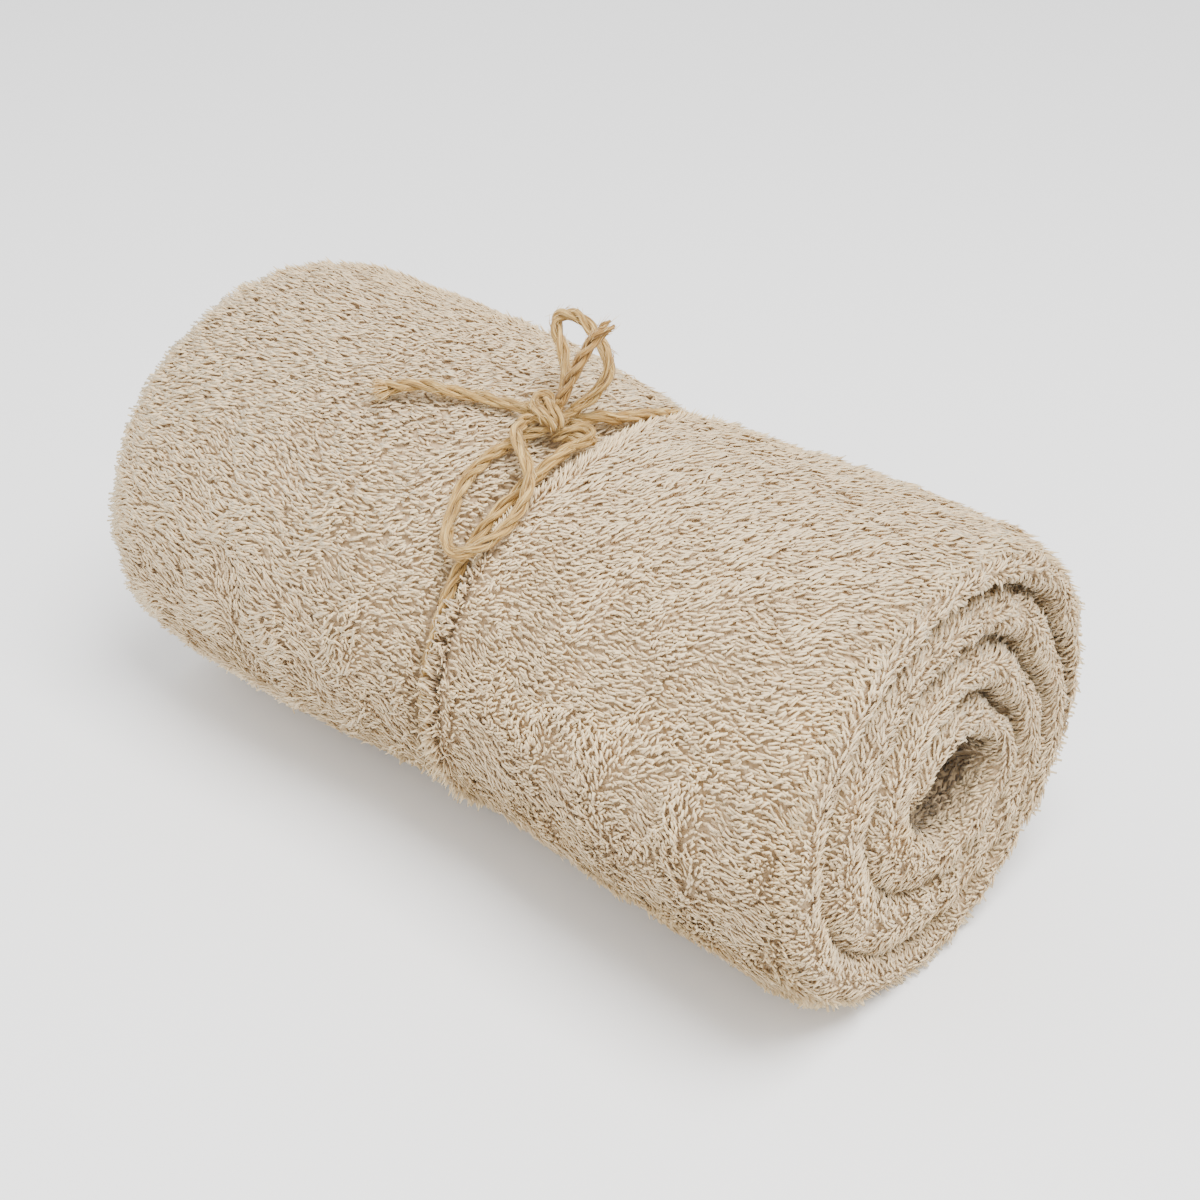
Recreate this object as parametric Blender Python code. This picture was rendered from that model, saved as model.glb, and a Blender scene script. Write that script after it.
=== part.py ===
"""Terry bath towel, folded in half lengthwise, rolled up and tied round the middle with jute twine.

Metres, +Z up. The roll lies along X on its flat spot. The origin is under its middle, on the surface
that it rests on. Angles go round the roll in degrees: 0 faces -Y (the front), 90 is the top, 180 the
back. A depth is measured inwards from the plain oval form, and a lift outwards.
"""
import math

import bmesh
import bpy
from mathutils import Matrix, Vector

# The roll
ROLL_LENGTH = 0.345
HALF_WIDTH = 0.0943
HALF_HEIGHT = 0.0912
FLAT_DROP = 0.0048          # the plain oval would reach this far below the surface
AXIS_HEIGHT = HALF_HEIGHT - FLAT_DROP
MEAN_RADIUS = (HALF_WIDTH + HALF_HEIGHT) / 2
END_LEAN_UP = 0.050         # the ends aren't square: they reach further out low down
END_LEAN_BACK = 0.045       # and towards the back on the near end
ALONG_SHIFT = -0.0007       # centres the roll over the origin

# The winding: doubled cloth, seen on the two ends as a spiral of rounded ridges
TURN = 0.0220               # thickness of one doubled turn
TURN_COUNT = 4
LAST_TURN_HOLD = 110.0      # degrees turned in the last one, where it starts to thin out round the core
FREE_EDGE_ANGLE = 222.0     # the outer hem lies low on the back
HEM_THICKNESS = 0.0055
HEM_REACH = 72.0            # degrees over which a turn thins towards the hem's side of the roll
HEM_SINK = 0.0045           # the turn under the hem sinks towards the hem's foot
HEM_FOOT = (318.0, 358.0)   # degrees turned, where it starts to sink and where the foot is
LAST_COLUMN = 356.5         # degrees turned; the surface steps up over the hem after it
RIM_LENGTH = 0.026          # the outer turn's fold, along the roll
RIM_DEPTH = 0.013           # and across it
VALLEY_DEPTH = 0.013        # between two ridges
RIDGE_FULLNESS = 2.2        # a ridge's section is a little squarer than a half circle
SELVEDGE_DEPTH = 0.006      # between the two cloth layers of a ridge, on the end with the selvedges
SELVEDGE_REACH = 0.16       # half width of that gap, as a share of the ridge
VALLEY_EVENNESS = 0.72      # the valleys are shallower on the front, where the ridges press together
OPEN_VALLEYS_ANGLE = 150.0
FIRST_VALLEY_REACH = 24.0   # degrees over which the outer valley opens from the hem
CORE_DEPTH = 0.025
CORE_OPENING = 200.0        # degrees turned in the last ridge, where it starts to sink into the core
CORE_MERGED = 345.0         # and where it has sunk to the core's floor
CORE_FLOOR_EXTRA = 0.003
CORE_SHIFT_BACK = 0.014     # the winding's centre isn't on the roll's axis
CORE_SHIFT_UP = 0.002

# The waist, where the twine draws the roll in
WAIST_DEPTH = 0.0064
WAIST_REACH_FAR = 0.050
WAIST_REACH_NEAR = 0.078
WAIST_TOP_EXTRA = 0.0020    # deeper behind the knot
WAIST_TOP_REACH = 0.028
WAIST_TOP_ANGLE = 112.0
WAIST_TOP_SPREAD = 22.0
GROOVE_DEPTH = 0.0070
GROOVE_REACH = 0.0053
GROOVE_WIDENING = 0.85      # wider at the knot
KNOT_ANGLE = 84.0
KNOT_SPREAD = 16.0
TIE_ALONG = 0.0130          # middle of the waist under the knot
TIE_SPAN = (-252.0, 70.0)   # between these the waist follows the twine

# Slow waves in the side: per metre along X, per turn, start, share of the depth
WAVE_DEPTH = 0.0008
WAVES = (
    (21.0, 2.0, 0.6, 1.0),
    (38.0, -3.0, 2.0, 0.6),
)

# The twine
TWINE_RADIUS = 0.0022
TWINE_SINK = 0.0099         # depth of its centre in the groove
POINT_SPACING = 4.4 * TWINE_RADIUS
CURVE_STEPS = 24            # between two points of a route

# Mesh fineness
COLUMNS = 46                # round the roll
SIDE_STEPS = 12             # along it, from the waist to each end
RIM_STEPS = 3
TURN_STEPS = 4              # across one ridge
RING_SPREAD = 0.15          # the rings lie closer together at the waist; 1 would spread them evenly

# Route of the twine round the roll: angle, place along X, lift of its centre
WRAP_ROUTE = (
    (78.2, 0.0161, -0.0058),
    (72.5, 0.0134, -0.0070),
    (68.4, 0.0120, -0.0080),
    (62.2, 0.0091, -0.0091),
    (56.2, 0.0069, -TWINE_SINK),
    (48.1, 0.0048, -TWINE_SINK),
    (38.0, 0.0038, -TWINE_SINK),
    (20.0, 0.0031, -TWINE_SINK),
    (0.0, 0.0004, -TWINE_SINK),
    (-30.0, -0.0042, -TWINE_SINK),
    (-60.0, -0.0062, -TWINE_SINK),
    (-90.0, -0.0058, -TWINE_SINK),
    (-120.0, -0.0020, -TWINE_SINK),
    (-150.0, 0.0035, -TWINE_SINK),
    (-180.0, 0.0085, -TWINE_SINK),
    (-210.0, 0.0124, -TWINE_SINK),
    (-238.0, 0.0148, -0.0112),
    (-250.0, 0.0154, -0.0110),
    (-262.0, 0.0140, -0.0094),
    (-268.0, 0.0112, -0.0066),
    (-273.0, 0.0078, -0.0054),
    (-275.6, 0.0062, -0.0046),
)

# The lower loop lies on the front: angle, place along X, lift of its centre
LOWER_LOOP = (
    (75.0, -0.0018, 0.0014),
    (72.3, -0.0010, 0.0020),
    (69.4, 0.0050, 0.0016),
    (66.0, 0.0128, -0.0004),
    (62.2, 0.0169, -0.0024),
    (56.7, 0.0190, -0.0032),
    (50.9, 0.0178, -0.0030),
    (45.6, 0.0130, -0.0026),
    (41.7, 0.0052, -0.0022),
    (43.1, -0.0010, -0.0028),
    (47.9, -0.0046, -0.0032),
    (52.1, -0.0064, -0.0032),
    (57.6, -0.0081, -0.0032),
    (64.1, -0.0069, -0.0034),
    (69.4, -0.0044, -0.0036),
    (72.4, -0.0022, -0.0038),
    (74.2, -0.0008, -0.0038),
)

# The end that points left lies along the top: angle, place along X, lift of its centre
LEFT_END = (
    (80.3, -0.0062, 0.0003),
    (79.6, -0.0165, -0.0012),
    (77.9, -0.0278, -0.0005),
    (75.1, -0.0384, 0.0013),
    (73.0, -0.0473, 0.0033),
    (71.5, -0.0527, 0.0033),
    (69.3, -0.0590, 0.0026),
    (67.6, -0.0626, 0.0023),
)

# The upper loop and end stand up behind the knot: x, y, rise above the roll's axis
UPPER_LOOP = (
    (0.0008, -0.0066, 0.0935),
    (0.0002, -0.0034, 0.0990),
    (-0.0048, 0.0010, 0.1054),
    (-0.0106, 0.0045, 0.1106),
    (-0.0130, 0.0062, 0.1145),
    (-0.0106, 0.0075, 0.1175),
    (-0.0050, 0.0080, 0.1187),
    (0.0004, 0.0076, 0.1177),
    (0.0050, 0.0065, 0.1153),
    (0.0104, 0.0050, 0.1125),
    (0.0146, 0.0030, 0.1087),
    (0.0156, 0.0005, 0.1037),
    (0.0132, -0.0022, 0.0983),
    (0.0096, -0.0052, 0.0937),
    (0.0074, -0.0076, 0.0911),
)
UPPER_END = (
    (0.0056, -0.0132, 0.0965),
    (0.0074, -0.0120, 0.1021),
    (0.0094, -0.0100, 0.1083),
    (0.0124, -0.0074, 0.1165),
    (0.0162, -0.0040, 0.1239),
    (0.0196, -0.0010, 0.1273),
)

# The knot, and the hitch beside it where the turn round the roll doubles back:
# name, angle, place along X, lift, half sizes along X, round the roll and outwards
KNOTS = (
    ("twine_knot", 81.0, 0.0020, -0.0016, (0.0054, 0.0056, 0.0046)),
    ("twine_hitch", 81.6, 0.0126, -0.0066, (0.0042, 0.0026, 0.0026)),
)

# The waves and troughs fade out towards the underside, where the roll lies flat
CALM_SHARE = 0.05
CALM_FADE = 0.5
TROUGH_START = 0.1          # a trough starts and ends this far from being flush

# Soft troughs in the side: start angle, start along X, end angle, end along X, half width, depth
CREASES = (
    (70.0, -0.082, 8.0, -0.056, 0.014, 0.0022),
    (58.0, 0.057, 16.0, 0.128, 0.013, 0.0026),
    (128.0, -0.070, 176.0, -0.095, 0.016, 0.0018),
    (118.0, 0.066, 170.0, 0.092, 0.016, 0.0018),
)


def smooth(value):
    """Ease from 0 to 1 as the value goes from 0 to 1."""
    value = min(max(value, 0.0), 1.0)
    return value * value * (3.0 - 2.0 * value)


def bell(distance, reach):
    """A soft bump that is 1 at distance 0."""
    return math.exp(-(distance / reach) ** 2)


def waist_along(angle):
    """Place along X of the middle of the waist at an angle round the roll."""
    turn = (angle - 90.0) % 360.0 - 360.0
    rows = [(row[0] - 90.0, row[1]) for row in WRAP_ROUTE if TIE_SPAN[0] < row[0] < TIE_SPAN[1]]
    rows = [(0.0, TIE_ALONG)] + rows + [(-360.0, TIE_ALONG)]
    for (high, along_high), (low, along_low) in zip(rows, rows[1:]):
        if low <= turn <= high:
            return along_low + (along_high - along_low) * smooth((turn - low) / (high - low))
    return rows[0][1]


def crease_depth(angle, along):
    """Depth of the soft troughs at a place on the side."""
    depth = 0.0
    for angle_a, along_a, angle_b, along_b, half_width, trough in CREASES:
        step = Vector(((angle_b - angle_a) * math.radians(MEAN_RADIUS), along_b - along_a))
        place = Vector(((angle - angle_a) * math.radians(MEAN_RADIUS), along - along_a))
        share = min(max(place.dot(step) / step.length_squared, 0.0), 1.0)
        distance = (place - step * share).length
        along_trough = TROUGH_START + (1.0 - 2.0 * TROUGH_START) * share
        depth += trough * bell(distance, half_width) * math.sin(math.pi * along_trough)
    return depth


def side_depth(angle, along):
    """How far the side surface lies inside the plain oval form."""
    offset = along - waist_along(angle)
    reach = WAIST_REACH_NEAR if offset > 0.0 else WAIST_REACH_FAR
    pull = bell(offset, reach)
    depth = WAIST_DEPTH * pull
    behind_knot = bell(angle % 360.0 - WAIST_TOP_ANGLE, WAIST_TOP_SPREAD)
    depth += WAIST_TOP_EXTRA * bell(offset, WAIST_TOP_REACH) * behind_knot
    at_knot = bell(angle % 360.0 - KNOT_ANGLE, KNOT_SPREAD)
    depth += GROOVE_DEPTH * bell(offset, GROOVE_REACH * (1.0 + GROOVE_WIDENING * at_knot))
    above_floor = smooth((math.sin(math.radians(angle)) + 1.0 - CALM_SHARE) / CALM_FADE)
    wave = 0.0
    for per_metre, per_turn, start, share in WAVES:
        wave += share * math.sin(per_metre * along + math.radians(per_turn * angle) + start)
    depth += above_floor * WAVE_DEPTH * wave * (1.0 - pull)
    depth += above_floor * crease_depth(angle % 360.0, along)
    return depth


def roll_place(angle, along, depth, core_share=0.0):
    """Point at a depth inside the oval form, flattened where it would reach below the surface."""
    share = 1.0 - depth / MEAN_RADIUS
    y = CORE_SHIFT_BACK * core_share - HALF_WIDTH * share * math.cos(math.radians(angle))
    rise = CORE_SHIFT_UP * core_share + HALF_HEIGHT * share * math.sin(math.radians(angle))
    lean = END_LEAN_BACK * y - math.copysign(END_LEAN_UP, along) * rise
    lean *= smooth(2.0 * abs(along) / ROLL_LENGTH)
    return Vector((along + lean + ALONG_SHIFT, y, max(AXIS_HEIGHT + rise, 0.0)))


def turn_boundary(turn_index, turned):
    """Depth of the inner side of a turn; turn 0 stands for the outer surface."""
    if turn_index == 0:
        return HEM_THICKNESS
    if turn_index == TURN_COUNT:
        thinning = 1.0 - smooth((turned - LAST_TURN_HOLD) / (360.0 - LAST_TURN_HOLD))
        return turn_boundary(turn_index - 1, turned) + TURN * thinning
    share = smooth(turned / HEM_REACH)
    hem = HEM_THICKNESS * (1.0 - share) if turn_index == 1 else 0.0
    return hem + TURN * (turn_index - 1 + share)


def valley_depth(turn_index, turned):
    """Depth along the roll of the valley on the inner side of a turn."""
    if turn_index == 0:
        return 0.0
    facing = math.cos(math.radians(FREE_EDGE_ANGLE - turned - OPEN_VALLEYS_ANGLE))
    plain = VALLEY_DEPTH * (VALLEY_EVENNESS + (1.0 - VALLEY_EVENNESS) * facing)
    if turn_index == 1:
        return plain * smooth(turned / FIRST_VALLEY_REACH)
    if turn_index == TURN_COUNT:
        return CORE_DEPTH
    if turn_index == TURN_COUNT - 1:
        return plain + (CORE_DEPTH - plain) * smooth((turned - CORE_OPENING) / (360.0 - CORE_OPENING))
    return plain


def sinking(turn_index, turned):
    """Share by which a ridge has sunk into the core; only the last one does."""
    if turn_index < TURN_COUNT:
        return 0.0
    return smooth((turned - CORE_OPENING) / (CORE_MERGED - CORE_OPENING))


def ridge_drop(across, outer_valley, inner_valley, doubled, sunk):
    """Drop of an end surface across one ridge, from 0 on its outer side to 1 on its inner side."""
    valley = outer_valley if across < 0.5 else inner_valley
    side = abs(2.0 * across - 1.0)
    drop = valley * (1.0 - math.sqrt(1.0 - side ** RIDGE_FULLNESS))
    if doubled:
        drop += SELVEDGE_DEPTH * bell(across - 0.5, SELVEDGE_REACH) * min(1.0, inner_valley / VALLEY_DEPTH)
    return drop + (CORE_DEPTH - drop) * sunk


def end_drop(depth):
    """Drop of an end surface where the outer fold rounds over to the side."""
    side = 1.0 - min(depth / RIM_DEPTH, 1.0)
    return RIM_LENGTH * (1.0 - math.sqrt(1.0 - side * side))


def hem_step(turned):
    """The surface sinks towards the foot of the outer hem."""
    return HEM_SINK * smooth((turned - HEM_FOOT[0]) / (HEM_FOOT[1] - HEM_FOOT[0]))


def column_angles():
    """Degrees turned from the outer hem, with a narrow last step up over the hem."""
    return [LAST_COLUMN * index / (COLUMNS - 1) for index in range(COLUMNS)]


def build_towel():
    """The roll as one closed body: side rings, two rims, two spiral ends."""
    body = bmesh.new()
    turned_steps = column_angles()

    def add_point(turned, along_from_end, depth, end):
        angle = FREE_EDGE_ANGLE - turned
        along = end * (ROLL_LENGTH / 2 - along_from_end)
        fade = 1.0 - depth / MEAN_RADIUS
        extra = side_depth(angle, along) * fade * fade
        extra += hem_step(turned) * max(0.0, 1.0 - depth / TURN)
        return body.verts.new(roll_place(angle, along, depth + extra, depth / MEAN_RADIUS))

    def side_ring(share):
        ring = []
        for turned in turned_steps:
            waist = waist_along(FREE_EDGE_ANGLE - turned)
            edge = math.copysign(ROLL_LENGTH / 2 - RIM_LENGTH, share)
            reach = RING_SPREAD * abs(share) + (1.0 - RING_SPREAD) * share * share
            along = waist + (edge - waist) * reach
            end = 1 if along >= 0 else -1
            ring.append(add_point(turned, ROLL_LENGTH / 2 - abs(along), 0.0, end))
        return ring

    def rim_ring(step, end):
        last = math.acos(1.0 - HEM_THICKNESS / RIM_DEPTH)
        bend = last * step / RIM_STEPS
        depth = RIM_DEPTH * (1.0 - math.cos(bend))
        return [add_point(turned, end_drop(depth), depth, end) for turned in turned_steps]

    def bridge(ring_a, ring_b, flip):
        for index in range(COLUMNS):
            after = (index + 1) % COLUMNS
            corners = [ring_a[index], ring_a[after], ring_b[after], ring_b[index]]
            body.faces.new(corners[::-1] if flip else corners)

    def spiral_end(outer_ring, end):
        """Ridges wound inwards from the rim; each level joins the one a turn further in."""
        levels = TURN_COUNT * TURN_STEPS
        grid = [outer_ring]
        for level in range(1, levels + 1):
            turn_index = (level - 1) // TURN_STEPS + 1
            across = level / TURN_STEPS - (turn_index - 1)
            row = []
            for index, turned in enumerate(turned_steps):
                if index == 0 and level <= TURN_STEPS:
                    row.append(outer_ring[0])
                    continue
                outer = turn_boundary(turn_index - 1, turned)
                inner = turn_boundary(turn_index, turned)
                depth = outer + (inner - outer) * across
                drop = end_drop(depth)
                drop += ridge_drop(across, valley_depth(turn_index - 1, turned),
                                   valley_depth(turn_index, turned), end < 0, sinking(turn_index, turned))
                row.append(add_point(turned, drop, depth, end))
            grid.append(row)
        centre = add_point(0.0, CORE_DEPTH + CORE_FLOOR_EXTRA, MEAN_RADIUS, end)
        for level in range(levels):
            for index in range(COLUMNS):
                quad = []
                for step, row in ((index, level), (index + 1, level), (index + 1, level + 1),
                                  (index, level + 1)):
                    if step == COLUMNS:
                        step = 0
                        row = min(row + TURN_STEPS, levels)
                    corner = grid[row][step]
                    if corner not in quad:
                        quad.append(corner)
                if len(quad) >= 3:
                    body.faces.new(quad[::-1] if end > 0 else quad)
        core = grid[levels]
        for index in range(COLUMNS):
            corners = [core[index], core[(index + 1) % COLUMNS], centre]
            body.faces.new(corners[::-1] if end > 0 else corners)

    rings = [side_ring(step / SIDE_STEPS) for step in range(-SIDE_STEPS, SIDE_STEPS + 1)]
    near = [rim_ring(step, 1) for step in range(1, RIM_STEPS + 1)]
    far = [rim_ring(step, -1) for step in range(1, RIM_STEPS + 1)]
    rings = far[::-1] + rings + near
    for ring_a, ring_b in zip(rings, rings[1:]):
        bridge(ring_a, ring_b, True)
    spiral_end(near[-1], 1)
    spiral_end(far[-1], -1)
    bmesh.ops.recalc_face_normals(body, faces=body.faces)
    return finish_mesh(body, "towel_roll")


def finish_mesh(body, name):
    """Turn a bmesh into a smooth-shaded object."""
    mesh = bpy.data.meshes.new(name)
    body.to_mesh(mesh)
    body.free()
    mesh.shade_smooth()
    thing = bpy.data.objects.new(name, mesh)
    bpy.context.collection.objects.link(thing)
    return thing


def smooth_curve(points):
    """Closely spaced points on a smooth curve through the given points."""
    ends = [points[0] * 2 - points[1]] + points + [points[-1] * 2 - points[-2]]
    curve = []
    for before, start, stop, after in zip(ends, ends[1:], ends[2:], ends[3:]):
        for step in range(CURVE_STEPS):
            t = step / CURVE_STEPS
            curve.append(0.5 * (2 * start + (stop - before) * t
                                + (2 * before - 5 * start + 4 * stop - after) * t * t
                                + (3 * start - before - 3 * stop + after) * t ** 3))
    curve.append(points[-1])
    return curve


def route_on_roll(route):
    """Curve in space for a route given as angle, place along X and lift."""
    flat = [Vector((math.radians(angle) * MEAN_RADIUS, along, lift)) for angle, along, lift in route]
    curve = smooth_curve(flat)
    return [roll_place(math.degrees(arc / MEAN_RADIUS), along, -lift) for arc, along, lift in curve]


def route_above_axis(route):
    """Curve in space for a route given as x, y and rise above the roll's axis."""
    return smooth_curve([Vector((x, y, AXIS_HEIGHT + rise)) for x, y, rise in route])


def evenly_spaced(curve, spacing):
    """Points at even steps along a curve."""
    lengths = [0.0]
    for start, stop in zip(curve, curve[1:]):
        lengths.append(lengths[-1] + (stop - start).length)
    count = max(4, round(lengths[-1] / spacing))
    even = []
    place = 0
    for step in range(count + 1):
        wanted = lengths[-1] * step / count
        while place < len(curve) - 2 and lengths[place + 1] < wanted:
            place += 1
        share = (wanted - lengths[place]) / (lengths[place + 1] - lengths[place])
        even.append(curve[place].lerp(curve[place + 1], share))
    return even


def build_cord(name, smooth_route):
    """A tube of twine along a smooth route."""
    curve = bpy.data.curves.new(name, "CURVE")
    curve.dimensions = "3D"
    curve.bevel_depth = TWINE_RADIUS
    curve.bevel_resolution = 2
    curve.use_fill_caps = True
    spline = curve.splines.new("POLY")
    route = evenly_spaced(smooth_route, POINT_SPACING)
    spline.points.add(len(route) - 1)
    for point, place in zip(spline.points, route):
        point.co = (*place, 1.0)
    thing = bpy.data.objects.new(name, curve)
    bpy.context.collection.objects.link(thing)
    return thing


def build_knot(name, angle, along, lift, half_sizes):
    """A rounded body of twine, turned to lie on the roll, with soft ridges across it."""
    centre = roll_place(angle, along, -lift)
    tilt = Matrix.Rotation(math.radians(90.0 - angle), 3, "X")
    body = bmesh.new()
    bmesh.ops.create_uvsphere(body, u_segments=20, v_segments=12, radius=1.0)
    for vert in body.verts:
        ridge = 1.0 - 0.05 * (1.0 - math.cos(9.0 * (vert.co.x * 0.8 + vert.co.y * 0.6)))
        sized = Vector([size * part for size, part in zip(half_sizes, vert.co)])
        vert.co = tilt @ (sized * ridge) + centre
    return finish_mesh(body, name)


def plain_material(name, colour, roughness):
    """A Principled material without metal."""
    material = bpy.data.materials.new(name)
    material.use_nodes = True
    shader = material.node_tree.nodes["Principled BSDF"]
    shader.inputs["Base Color"].default_value = (*colour, 1.0)
    shader.inputs["Roughness"].default_value = roughness
    shader.inputs["Metallic"].default_value = 0.0
    return material


def main():
    for thing in list(bpy.data.objects):
        bpy.data.objects.remove(thing, do_unlink=True)
    terry = plain_material("terry_cotton", (0.56, 0.48, 0.41), 0.95)
    jute = plain_material("jute_twine", (0.58, 0.38, 0.16), 0.85)
    build_towel().data.materials.append(terry)
    knots = [build_knot(*row) for row in KNOTS]
    cords = [
        build_cord("twine_wrap", route_on_roll(WRAP_ROUTE)),
        build_cord("bow_loop_lower", route_on_roll(LOWER_LOOP)),
        build_cord("bow_loop_upper", route_above_axis(UPPER_LOOP)),
        build_cord("twine_end_left", route_on_roll(LEFT_END)),
        build_cord("twine_end_upper", route_above_axis(UPPER_END)),
    ]
    for thing in knots + cords:
        thing.data.materials.append(jute)


main()
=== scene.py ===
"""Looks of the rolled terry bath towel: looped pile on a wound body, and a bow of jute twine.

Metres, in the frame of the CAD model. Angles go round the roll in degrees: 0 faces -Y (the front),
90 is the top, 180 the back. A depth is measured inwards from the plain oval form, a lift outwards.
"""
import math

import bpy
import numpy as np
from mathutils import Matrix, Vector
from mathutils.kdtree import KDTree


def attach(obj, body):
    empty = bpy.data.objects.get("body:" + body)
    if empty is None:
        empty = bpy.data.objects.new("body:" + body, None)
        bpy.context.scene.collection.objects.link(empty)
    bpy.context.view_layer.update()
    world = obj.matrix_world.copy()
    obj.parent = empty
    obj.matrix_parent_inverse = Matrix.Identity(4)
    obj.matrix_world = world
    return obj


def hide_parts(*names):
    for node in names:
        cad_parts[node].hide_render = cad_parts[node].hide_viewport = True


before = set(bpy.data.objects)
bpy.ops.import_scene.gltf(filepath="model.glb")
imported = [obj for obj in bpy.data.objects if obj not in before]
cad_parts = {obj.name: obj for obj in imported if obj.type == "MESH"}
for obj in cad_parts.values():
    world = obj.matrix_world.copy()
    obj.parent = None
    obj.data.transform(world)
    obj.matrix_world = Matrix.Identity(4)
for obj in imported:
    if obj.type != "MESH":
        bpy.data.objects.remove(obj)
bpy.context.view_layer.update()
rng = np.random.default_rng(7)

# ---------------------------------------------------------------- the roll's form, as in the CAD
ROLL_LENGTH = 0.345
HALF_WIDTH = 0.0943
HALF_HEIGHT = 0.0912
FLAT_DROP = 0.0048
AXIS_HEIGHT = HALF_HEIGHT - FLAT_DROP
MEAN_RADIUS = (HALF_WIDTH + HALF_HEIGHT) / 2
END_LEAN_UP = 0.050
END_LEAN_BACK = 0.045
ALONG_SHIFT = -0.0007
TURN = 0.0220
TURN_COUNT = 4
LAST_TURN_HOLD = 110.0
FREE_EDGE_ANGLE = 222.0
HEM_THICKNESS = 0.0055
HEM_REACH = 72.0
HEM_SINK = 0.0045
HEM_FOOT = (318.0, 358.0)
HEM_RISE = (356.5, 3.0)
RIM_LENGTH = 0.026
RIM_DEPTH = 0.013
VALLEY_DEPTH = 0.013
SELVEDGE_DEPTH = 0.006
VALLEY_EVENNESS = 0.72
OPEN_VALLEYS_ANGLE = 150.0
FIRST_VALLEY_REACH = 24.0
RIDGE_FULLNESS = 2.2
SELVEDGE_REACH = 0.16
CORE_DEPTH = 0.025
CORE_OPENING = 200.0
CORE_MERGED = 345.0
CORE_FLOOR_EXTRA = 0.003
CORE_SHIFT_BACK = 0.014
CORE_SHIFT_UP = 0.002
WAIST_DEPTH = 0.0064
WAIST_REACH_FAR = 0.050
WAIST_REACH_NEAR = 0.078
WAIST_TOP_EXTRA = 0.0020
WAIST_TOP_REACH = 0.028
WAIST_TOP_ANGLE = 112.0
WAIST_TOP_SPREAD = 22.0
GROOVE_DEPTH = 0.0070
GROOVE_REACH = 0.0053
GROOVE_WIDENING = 0.85
KNOT_ANGLE = 84.0
KNOT_SPREAD = 16.0
TIE_ALONG = 0.0130
TIE_SPAN = (-252.0, 70.0)
WAVE_DEPTH = 0.0008
WAVES = (
    (21.0, 2.0, 0.6, 1.0), (38.0, -3.0, 2.0, 0.6),
)
TWINE_RADIUS = 0.0022
TWINE_SINK = 0.0099

# Route of the twine round the roll: angle, place along X, lift of its centre
WRAP_ROUTE = (
    (78.2, 0.0161, -0.0058), (72.5, 0.0134, -0.0070), (68.4, 0.0120, -0.0080),
    (62.2, 0.0091, -0.0091), (56.2, 0.0069, -TWINE_SINK), (48.1, 0.0048, -TWINE_SINK),
    (38.0, 0.0038, -TWINE_SINK), (20.0, 0.0031, -TWINE_SINK), (0.0, 0.0004, -TWINE_SINK),
    (-30.0, -0.0042, -TWINE_SINK), (-60.0, -0.0062, -TWINE_SINK), (-90.0, -0.0058, -TWINE_SINK),
    (-120.0, -0.0020, -TWINE_SINK), (-150.0, 0.0035, -TWINE_SINK), (-180.0, 0.0085, -TWINE_SINK),
    (-210.0, 0.0124, -TWINE_SINK), (-238.0, 0.0148, -0.0112), (-250.0, 0.0154, -0.0110),
    (-262.0, 0.0140, -0.0094), (-268.0, 0.0112, -0.0066), (-273.0, 0.0078, -0.0054),
    (-275.6, 0.0062, -0.0046),
)

# The lower loop lies on the front: angle, place along X, lift of its centre
LOWER_LOOP = (
    (75.0, -0.0018, 0.0014), (72.3, -0.0010, 0.0020), (69.4, 0.0050, 0.0016),
    (66.0, 0.0128, -0.0004), (62.2, 0.0169, -0.0024), (56.7, 0.0190, -0.0032),
    (50.9, 0.0178, -0.0030), (45.6, 0.0130, -0.0026), (41.7, 0.0052, -0.0022),
    (43.1, -0.0010, -0.0028), (47.9, -0.0046, -0.0032), (52.1, -0.0064, -0.0032),
    (57.6, -0.0081, -0.0032), (64.1, -0.0069, -0.0034), (69.4, -0.0044, -0.0036),
    (72.4, -0.0022, -0.0038), (74.2, -0.0008, -0.0038),
)

# The end that points left lies along the top: angle, place along X, lift of its centre
LEFT_END = (
    (80.3, -0.0062, 0.0003), (79.6, -0.0165, -0.0012), (77.9, -0.0278, -0.0005),
    (75.1, -0.0384, 0.0013), (73.0, -0.0473, 0.0033), (71.5, -0.0527, 0.0033),
    (69.3, -0.0590, 0.0026), (67.6, -0.0626, 0.0023),
)

# The upper loop and end stand up behind the knot: x, y, rise above the roll's axis
UPPER_LOOP = (
    (0.0008, -0.0066, 0.0935), (0.0002, -0.0034, 0.0990), (-0.0048, 0.0010, 0.1054),
    (-0.0106, 0.0045, 0.1106), (-0.0130, 0.0062, 0.1145), (-0.0106, 0.0075, 0.1175),
    (-0.0050, 0.0080, 0.1187), (0.0004, 0.0076, 0.1177), (0.0050, 0.0065, 0.1153),
    (0.0104, 0.0050, 0.1125), (0.0146, 0.0030, 0.1087), (0.0156, 0.0005, 0.1037),
    (0.0132, -0.0022, 0.0983), (0.0096, -0.0052, 0.0937), (0.0074, -0.0076, 0.0911),
)
UPPER_END = (
    (0.0056, -0.0132, 0.0965), (0.0074, -0.0120, 0.1021), (0.0094, -0.0100, 0.1083),
    (0.0124, -0.0074, 0.1165), (0.0162, -0.0040, 0.1239), (0.0196, -0.0010, 0.1273),
)

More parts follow.
